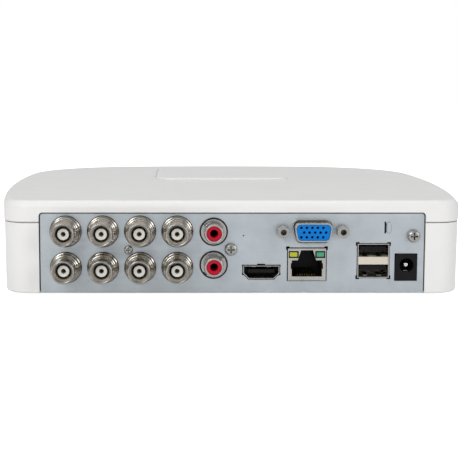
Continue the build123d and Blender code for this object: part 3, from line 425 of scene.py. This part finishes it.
# ---- Video and audio jacks -------------------------------------------------------------------------
BNC_PITCH = 15.71
BNC_LEFT = -70.25
BNC_ROWS = (25.8, 10.35)
BNC_AT = [(BNC_LEFT + BNC_PITCH * column, row) for row in BNC_ROWS for column in range(4)]
BNC_PROFILE = [
    (2.45, 1.3), (6.55, 1.3), (6.55, -0.55), (6.38, -0.75), (6.08, -0.78), (5.95, -0.92),
    (5.95, -1.50), (5.62, -1.62), (5.60, -1.95), (5.95, -2.08), (5.95, -2.50), (5.62, -2.62),
    (5.60, -2.95), (5.95, -3.08), (5.95, -3.56), (5.75, -3.70), (5.36, -3.78), (5.30, -3.90),
    (5.30, -4.85), (5.18, -5.00), (4.92, -5.05), (4.85, -5.15), (4.85, -11.2), (4.80, -11.3),
    (4.80, -11.6), (4.85, -11.7), (4.85, -12.25), (4.72, -12.48), (4.55, -12.55), (4.28, -12.55),
    (4.12, -12.45), (4.05, -12.2), (3.40, -10.3), (2.80, -8.6), (2.70, -2.3), (2.65, -2.0),
    (2.60, -2.0), (2.45, -1.85),
]
LUG_ROOT = 4.5                                 # inside the jack's wall
LUG_TIP = 5.42
LUG_Y = -9.3
LUG_R = 0.95
AUDIO_X = -7.77
AUDIO_ROWS = (25.7, 11.6)
GAP_SHADE_PROFILE = [(5.37, -0.02), (5.37, -0.42), (5.92, -0.42), (6.00, -0.34), (6.00, -0.02)]


def video_jacks():
    """Turned bodies with grooves and a rolled rim, and the two bayonet lugs of each."""
    for number, (x, z) in enumerate(BNC_AT, 1):
        data = bmesh.new()
        add_lathe(data, x, z, BNC_PROFILE)
        piece(f"bnc_body_{number}", data, "nickel", hides=f"bnc_shell_{number}")
        data = bmesh.new()
        for side in SIDES:
            root, tip = spot(x + side * LUG_ROOT, z, LUG_Y), spot(x + side * LUG_TIP, z, LUG_Y)
            add_rod(data, root, tip, LUG_R * MM)
        piece(f"bnc_lugs_{number}", data, "nickel", bevel=0.18)


def audio_gap_shades():
    """Painted shade: black rings in the gap between the audio jacks and the panel."""
    data = bmesh.new()
    for row in AUDIO_ROWS:
        add_lathe(data, AUDIO_X, row, GAP_SHADE_PROFILE)
    piece("audio_gap_shades", data, "jack_block")


# ---- Springs in the USB and digital video sockets --------------------------------------------------
USB_X = 59.69
USB_MIDDLES = (17.3, 9.4)
USB_HALF_SLOT = 2.30
USB_FINGERS_X = (-3.3, 2.5)                    # from the socket's middle
USB_FINGER_WIDTH = 1.9
USB_FINGER_THICKNESS = 0.20
# each bend as (distance behind the panel's face, height), the USB fingers' from their slot's floor
USB_FINGER_BEND = [(0.3, 0.0), (1.2, 0.18), (3.2, 0.62), (4.2, 0.66), (5.6, 0.30), (7.5, 0.0)]
HDMI_X = 12.4
HDMI_TABS_X = (-3.2, 3.2)                      # from the socket's middle
HDMI_TAB_WIDTH = 1.7
HDMI_TAB_THICKNESS = 0.18
HDMI_TAB_BEND = [(0.2, 10.75), (1.5, 10.62), (3.4, 10.35), (5.0, 10.60), (6.5, 10.75)]


def socket_springs():
    """Contact fingers of the two USB slots and the retaining tabs of the small video socket."""
    data = bmesh.new()
    for middle in USB_MIDDLES:
        slot_low = middle - USB_HALF_SLOT
        path = [(y, slot_low + rise) for y, rise in USB_FINGER_BEND]
        for x in USB_FINGERS_X:
            add_strip(data, USB_X + x, USB_FINGER_WIDTH, USB_FINGER_THICKNESS, path)
    piece("usb_springs", data, "socket_steel")
    data = bmesh.new()
    for x in HDMI_TABS_X:
        add_strip(data, HDMI_X + x, HDMI_TAB_WIDTH, HDMI_TAB_THICKNESS, HDMI_TAB_BEND)
    piece("hdmi_springs", data, "socket_steel")


# ---- Network lights --------------------------------------------------------------------------------
LIGHT_RIM = Vector((0.45, 0.0, 0.40)) * MM     # the surround's width at the sides and above
SURROUND_PROUD = 0.06 * MM                     # in front of the CAD light's face
SURROUND_DEPTH = 0.8 * MM                      # behind that face
WINDOW_PROUD = 0.45 * MM
WINDOW_DEPTH = 0.5 * MM
WINDOW_INSET = 0.25 * MM


def network_lights():
    """Rounded light windows in their black surrounds, at the top corners of the network socket."""
    frames = bmesh.new()
    for colour in ("yellow", "green"):
        low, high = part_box(f"lan_led_{colour}")
        front = low.y
        add_block(
            frames,
            (low.x - LIGHT_RIM.x, front - SURROUND_PROUD, low.z - LIGHT_RIM.z),
            (high.x + LIGHT_RIM.x, front + SURROUND_DEPTH, high.z + LIGHT_RIM.z),
        )
        window = bmesh.new()
        add_block(
            window,
            (low.x + WINDOW_INSET, front - WINDOW_PROUD, low.z + WINDOW_INSET),
            (high.x - WINDOW_INSET, front + WINDOW_DEPTH, high.z - WINDOW_INSET),
        )
        piece(f"light_{colour}", window, f"led_{colour}", hides=f"lan_led_{colour}", bevel=0.42)
    piece("light_surrounds", frames, "socket_black")


# ---- Painted shade in the gaps ---------------------------------------------------------------------
SIDE_GAP_X = (81.04, 81.46)                    # between the panel's side edges and the case
SIDE_GAP_Z = (0.2, 33.40)
TOP_GAP_X = (-80.0, 80.0)
TOP_GAP_Z = (33.44, 33.86)                     # between the panel's top edge and the cover
GAP_DEPTH = (0.55, 1.30)
MONITOR_X = 33.8
MONITOR_SHADE_HALF = 9.3                        # to the outer side of each side strip
MONITOR_SHADE_WIDTH = 1.05
MONITOR_SIDE_Z = (20.9, 31.3)
MONITOR_TOP_X = (24.6, 43.0)
MONITOR_TOP_Z = (30.55, 31.30)
MONITOR_SHADE_DEPTH = (1.02, 1.26)


def panel_gap_shades():
    """Painted shade: black strips in the gap round the panel, and behind the monitor socket's cut-out."""
    data = bmesh.new()
    for side in SIDES:
        add_bar(data, [side * edge for edge in SIDE_GAP_X], SIDE_GAP_Z, GAP_DEPTH)
    add_bar(data, TOP_GAP_X, TOP_GAP_Z, GAP_DEPTH)
    piece("panel_gap_shade", data, "jack_block")
    data = bmesh.new()
    for side in SIDES:
        edge = MONITOR_X + side * MONITOR_SHADE_HALF
        strip = (edge - side * MONITOR_SHADE_WIDTH, edge)
        add_bar(data, strip, MONITOR_SIDE_Z, MONITOR_SHADE_DEPTH)
    add_bar(data, MONITOR_TOP_X, MONITOR_TOP_Z, MONITOR_SHADE_DEPTH)
    piece("monitor_gap_shade", data, "jack_block")


# ---- Small parts on the main board -----------------------------------------------------------------
BOARD_TOP = PANEL_Z + 4.7 * MM
TALL_PARTS = [
    "main_chip", "heatsink", "memory_chips", "capacitors", "coin_cell_holder", "buzzer",
    "drive_data_socket", "drive_power_socket", "lan_housing", "usb_shell", "vga_riser_board",
    "bnc_blocks", "audio_jack_housing", "hdmi_shell", "dc_jack_body", "lan_shell",
    "drive_data_cable", "drive_power_cable",
]
# the four board screws and the indicator plug, as (x, y) in mm
KEPT_CLEAR = [(-72.0, 27.0), (70.0, 27.0), (-72.0, 76.0), (44.0, 76.0), (-68.0, 77.0)]
KEPT_CLEAR_HALF = 4.5
CHIP_TRIES = 420
LARGE_EVERY = 14                               # one try in this many is a large package
CHIP_ROOM = 0.9 * MM
FREE_X = (0.04, 0.92)                          # start and length, as parts of the board's width
FREE_Y = (0.30, 0.66)                          # the same, of the board's depth
SECOND_SEED = 1000                             # keeps the depth's draws apart from the width's
LARGE_HALF = Vector((2.6, 1.9)) * MM
LARGE_GAP = 0.1 * MM                           # under the package
LARGE_TOP = 1.1 * MM
PIN_HALF = Vector((0.45, 0.15)) * MM
PIN_TOP = 0.25 * MM
PIN_REACH = 0.25 * MM                          # from the package's side to the pin's middle
PIN_PITCH = 0.8 * MM
PIN_STEPS = (-1.5, -0.5, 0.5, 1.5)
SMALL_HALF = Vector((0.8, 0.4)) * MM
SMALL_TOP = 0.5 * MM
BODY_PART = Vector((0.78, 0.95))               # the body's part of a small chip's half size
END_HALF = 0.16 * MM
END_TOP = 0.53 * MM
END_PLACE = 0.9                                # the end's middle, as a part of the half size


def scatter(seed):
    """Repeatable number from 0 to 1, by the usual sine hash."""
    return abs(sin(seed * 12.9898 + 4.1)) * 43758.5453 % 1.0


def is_near(box, x, y, half):
    """True where a part of this half size, centred on x and y, would crowd a box."""
    low, high = box
    near_x = low.x - half.x - CHIP_ROOM < x < high.x + half.x + CHIP_ROOM
    near_y = low.y - half.y - CHIP_ROOM < y < high.y + half.y + CHIP_ROOM
    return near_x and near_y


def add_package(packages, ends, x, y, half):
    """Adds a large package with four pins down each of two sides."""
    add_slab(packages, x, y, half.x, half.y, BOARD_TOP + LARGE_GAP, BOARD_TOP + LARGE_TOP)
    for side in SIDES:
        pin_x = x + (half.x + PIN_REACH) * side
        for pin in PIN_STEPS:
            pin_y = y + pin * PIN_PITCH
            add_slab(ends, pin_x, pin_y, PIN_HALF.x, PIN_HALF.y, BOARD_TOP, BOARD_TOP + PIN_TOP)


def add_chip(bodies, ends, x, y, half, turned):
    """Adds a chip resistor or capacitor with its two tinned ends."""
    body_x, body_y = half.x * BODY_PART.x, half.y * BODY_PART.y
    add_slab(bodies, x, y, body_x, body_y, BOARD_TOP, BOARD_TOP + SMALL_TOP)
    end_top = BOARD_TOP + END_TOP
    for side in SIDES:
        if turned:
            add_slab(ends, x, y + side * half.y * END_PLACE, half.x, END_HALF, BOARD_TOP, end_top)
        else:
            add_slab(ends, x + side * half.x * END_PLACE, y, END_HALF, half.y, BOARD_TOP, end_top)


def board_parts():
    """Chip resistors, chip capacitors and small packages over the free main board."""
    low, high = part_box("main_board")
    taken = [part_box(name) for name in TALL_PARTS]
    for x, y in KEPT_CLEAR:
        taken.append((
            spot(x - KEPT_CLEAR_HALF, 0, y - KEPT_CLEAR_HALF),
            spot(x + KEPT_CLEAR_HALF, 0, y + KEPT_CLEAR_HALF),
        ))
    bodies, ends, packages = bmesh.new(), bmesh.new(), bmesh.new()
    for number in range(CHIP_TRIES):
        across = FREE_X[0] + FREE_X[1] * scatter(number)
        back = FREE_Y[0] + FREE_Y[1] * scatter(number + SECOND_SEED)
        x = low.x + across * (high.x - low.x)
        y = low.y + back * (high.y - low.y)
        large = number % LARGE_EVERY == 0
        turned = number % 2 == 1
        half = LARGE_HALF if large else SMALL_HALF
        if turned:
            half = Vector((half.y, half.x))
        if any(is_near(box, x, y, half) for box in taken):
            continue
        taken.append((Vector((x - half.x, y - half.y, 0)), Vector((x + half.x, y + half.y, 0))))
        if large:
            add_package(packages, ends, x, y, half)
        else:
            add_chip(bodies, ends, x, y, half, turned)
    piece("board_chips_small", bodies, "usb_cream")
    piece("board_chip_ends", ends, "pin_metal")
    piece("board_chips_large", packages, "chip_black", bevel=0.08)


# ---- Hard drive ------------------------------------------------------------------------------------
DRIVE_LABEL_X = (10 * MM, 96 * MM)             # from the lid's left edge
DRIVE_LABEL_INSET = 12 * MM                    # from its front and rear edges
DRIVE_LABEL_THICKNESS = 0.12 * MM
LID_SCREW_INSET = 5 * MM                       # from the lid's edges
LID_RIGHT_X = 141 * MM                         # the right pair, from the lid's left edge
LID_MIDDLE_X = 108 * MM                        # a screw on the lid's middle line
LID_SCREW_R = 2.1 * MM
LID_SCREW_HEIGHT = 0.5 * MM


def drive_dressing():
    """Blank label and lid screws on the hard drive."""
    low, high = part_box("drive_lid")
    top = high.z
    data = bmesh.new()
    add_block(
        data,
        (low.x + DRIVE_LABEL_X[0], low.y + DRIVE_LABEL_INSET, top),
        (low.x + DRIVE_LABEL_X[1], high.y - DRIVE_LABEL_INSET, top + DRIVE_LABEL_THICKNESS),
    )
    piece("drive_label", data, "insulator_white")
    data = bmesh.new()
    near, middle, far = low.y + LID_SCREW_INSET, ((low + high) / 2).y, high.y - LID_SCREW_INSET
    places = [(LID_SCREW_INSET, y) for y in (near, middle, far)]
    places += [(LID_RIGHT_X, near), (LID_RIGHT_X, far), (LID_MIDDLE_X, middle)]
    for x, y in places:
        foot = Vector((low.x + x, y, top))
        add_rod(data, foot, foot + Vector((0, 0, LID_SCREW_HEIGHT)), LID_SCREW_R, 32)
    piece("drive_lid_screws", data, "screw_zinc", bevel=0.12)


# ---- Indicator leads -------------------------------------------------------------------------------
LEAD_COUNT = 4
LEAD_PITCH = 1.25
LEAD_R = 0.5


def indicator_leads():
    """Four thin leads from the main board, past the drive, to the indicator board."""
    for number in range(LEAD_COUNT):
        step = number * LEAD_PITCH
        route = [
            (-66.0 - step, 5.6, 78.0), (-67.0 - step, 8.5, 80.5), (-74.0 - step, 8.2, 84.0 - step),
            (-80.5 - step, 5.0, 100.0), (-81.0 - step, 3.4, 140.0), (-77.5 - step, 3.4, 178.0),
            (-60.0 - step, 3.4, 192.0 + step), (-26.0 - step, 5.0, 197.5), (-11.0 + step, 15.0, 199.5),
            (-6.0 + step * 2, 20.0, 202.1),
        ]
        wire(f"indicator_lead_{number + 1}", "lead_black" if number else "lead_red", route, LEAD_R)
    data = bmesh.new()
    add_bar(data, x_span=(-71.5, -64.5), z_span=(4.7, 8.3), y_span=(75.0, 79.0))
    piece("indicator_plug", data, "usb_cream", bevel=0.2)


# ---- Underside -------------------------------------------------------------------------------------
RATING_LABEL_X = (-30 * MM, 30 * MM)
RATING_LABEL_Y = (-37 * MM, -15 * MM)          # between two rows of vent slots
RATING_LABEL_PROUD = 0.10 * MM
RATING_LABEL_SUNK = 0.05 * MM


def underside():
    """Blank rating label stuck under the tray."""
    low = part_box("bottom_tray")[0].z
    data = bmesh.new()
    add_block(
        data,
        (RATING_LABEL_X[0], RATING_LABEL_Y[0], low - RATING_LABEL_PROUD),
        (RATING_LABEL_X[1], RATING_LABEL_Y[1], low + RATING_LABEL_SUNK),
    )
    piece("rating_label", data, "insulator_white")


video_jacks()
audio_gap_shades()
socket_springs()
network_lights()
panel_gap_shades()
board_parts()
drive_dressing()
indicator_leads()
underside()


# ---- Floor, light and camera -----------------------------------------------------------------------
FLOOR_REACH = 6.0
FLOOR_GLOW = 0.85                              # keeps the ground white to the eye without lighting the case
ROOM_LIGHT = 0.50
LIGHT_TARGET = Vector((0, 0, 0.02))
LAMPS = {
    "key": dict(place=(-0.70, -1.20, 0.75), size=(0.8, 0.5), watts=8.7),
    "fill": dict(place=(0.95, -0.95, 0.40), size=(0.5, 0.5), watts=3.4),
    "top": dict(place=(0.0, 0.25, 1.2), size=(1.2, 0.9), watts=4.2),
    "under": dict(place=(0.0, 0.0, -0.9), size=(0.9, 0.9), watts=1.6),
}
CAMERA_X = -0.0206
CAMERA_BEFORE_PANEL = 0.4304
CAMERA_ABOVE_PANEL = 0.0835                    # above its lower edge
CAMERA_TILT = 0.096                            # radians below level


def floor_material():
    """White ground that glows only to the eye, and that the under light passes through."""
    material = new_material("floor_white", (0.88, 0.88, 0.88), 0.9, Emission_Color=(1.0, 1.0, 1.0, 1.0))
    shade = noise(material, scale=2.0, detail=2.0)
    set_colour(material, blend_colours(material, shade, (0.87, 0.87, 0.87), (0.90, 0.90, 0.90)))
    ray = add_node(material, "ShaderNodeLightPath")
    glow = spread(material, ray.outputs["Is Camera Ray"], low=0.0, high=FLOOR_GLOW, start=0.0, end=1.0)
    join(material, glow, shader_of(material).inputs["Emission Strength"])
    # from below, the floor lets the eye and the under light through to the underside
    geometry = add_node(material, "ShaderNodeNewGeometry")
    either_way = add_node(material, "ShaderNodeMath", operation="MAXIMUM")
    join(material, geometry.outputs["Backfacing"], either_way.inputs[0])
    join(material, ray.outputs["Is Shadow Ray"], either_way.inputs[1])
    clear = add_node(material, "ShaderNodeBsdfTransparent")
    choice = add_node(material, "ShaderNodeMixShader")
    join(material, either_way.outputs["Value"], choice.inputs[0])
    join(material, shader_of(material).outputs["BSDF"], choice.inputs[1])
    join(material, clear.outputs["BSDF"], choice.inputs[2])
    surface = material.node_tree.nodes["Material Output"].inputs["Surface"]
    join(material, choice.outputs["Shader"], surface)
    return material


def floor():
    mesh = bpy.data.meshes.new("floor")
    corners = [(x * FLOOR_REACH, y * FLOOR_REACH, 0) for x, y in ((-1, -1), (1, -1), (1, 1), (-1, 1))]
    mesh.from_pydata(corners, [], [(0, 1, 2, 3)])
    mesh.materials.append(floor_material())
    ground = bpy.data.objects.new("floor", mesh)
    bpy.context.scene.collection.objects.link(ground)


def room():
    """A white backdrop to the eye, and a softer, slightly cool light to the object."""
    world = bpy.data.worlds.new("studio")
    world.use_nodes = True
    tree = world.node_tree
    backdrop = tree.nodes["Background"]
    backdrop.inputs["Color"].default_value = (1.0, 1.0, 1.0, 1.0)
    light = tree.nodes.new("ShaderNodeBackground")
    light.inputs["Color"].default_value = (0.97, 0.985, 1.0, 1.0)
    light.inputs["Strength"].default_value = ROOM_LIGHT
    ray = tree.nodes.new("ShaderNodeLightPath")
    choice = tree.nodes.new("ShaderNodeMixShader")
    tree.links.new(ray.outputs["Is Camera Ray"], choice.inputs[0])
    tree.links.new(light.outputs["Background"], choice.inputs[1])
    tree.links.new(backdrop.outputs["Background"], choice.inputs[2])
    tree.links.new(choice.outputs["Shader"], tree.nodes["World Output"].inputs["Surface"])
    bpy.context.scene.world = world


def lamp(name, place, size, watts):
    """A rectangular soft light aimed at the object."""
    light = bpy.data.lights.new(name, "AREA")
    light.shape = "RECTANGLE"
    light.size, light.size_y = size
    light.energy = watts
    holder = bpy.data.objects.new(name, light)
    holder.location = place
    holder.rotation_euler = (LIGHT_TARGET - Vector(place)).to_track_quat("-Z", "Y").to_euler()
    bpy.context.scene.collection.objects.link(holder)


def camera():
    """Camera at the same height, distance and tilt as the reference view."""
    data = bpy.data.cameras.new("camera")
    data.sensor_width = 36.0
    data.lens = 80.87
    data.shift_x = 0.0998
    data.shift_y = -0.0784
    data.clip_start = 0.01
    data.clip_end = 50.0
    rig = bpy.data.objects.new("camera", data)
    rig.location = (CAMERA_X, FACE_Y - CAMERA_BEFORE_PANEL, PANEL_Z + CAMERA_ABOVE_PANEL)
    rig.rotation_euler = (pi / 2 - CAMERA_TILT, 0.0, 0.0)
    bpy.context.scene.collection.objects.link(rig)
    bpy.context.scene.camera = rig


floor()
room()
for lamp_name, settings in LAMPS.items():
    lamp(lamp_name, **settings)
camera()
bpy.context.scene.view_settings.view_transform = "Standard"
bpy.context.scene.view_settings.look = "None"
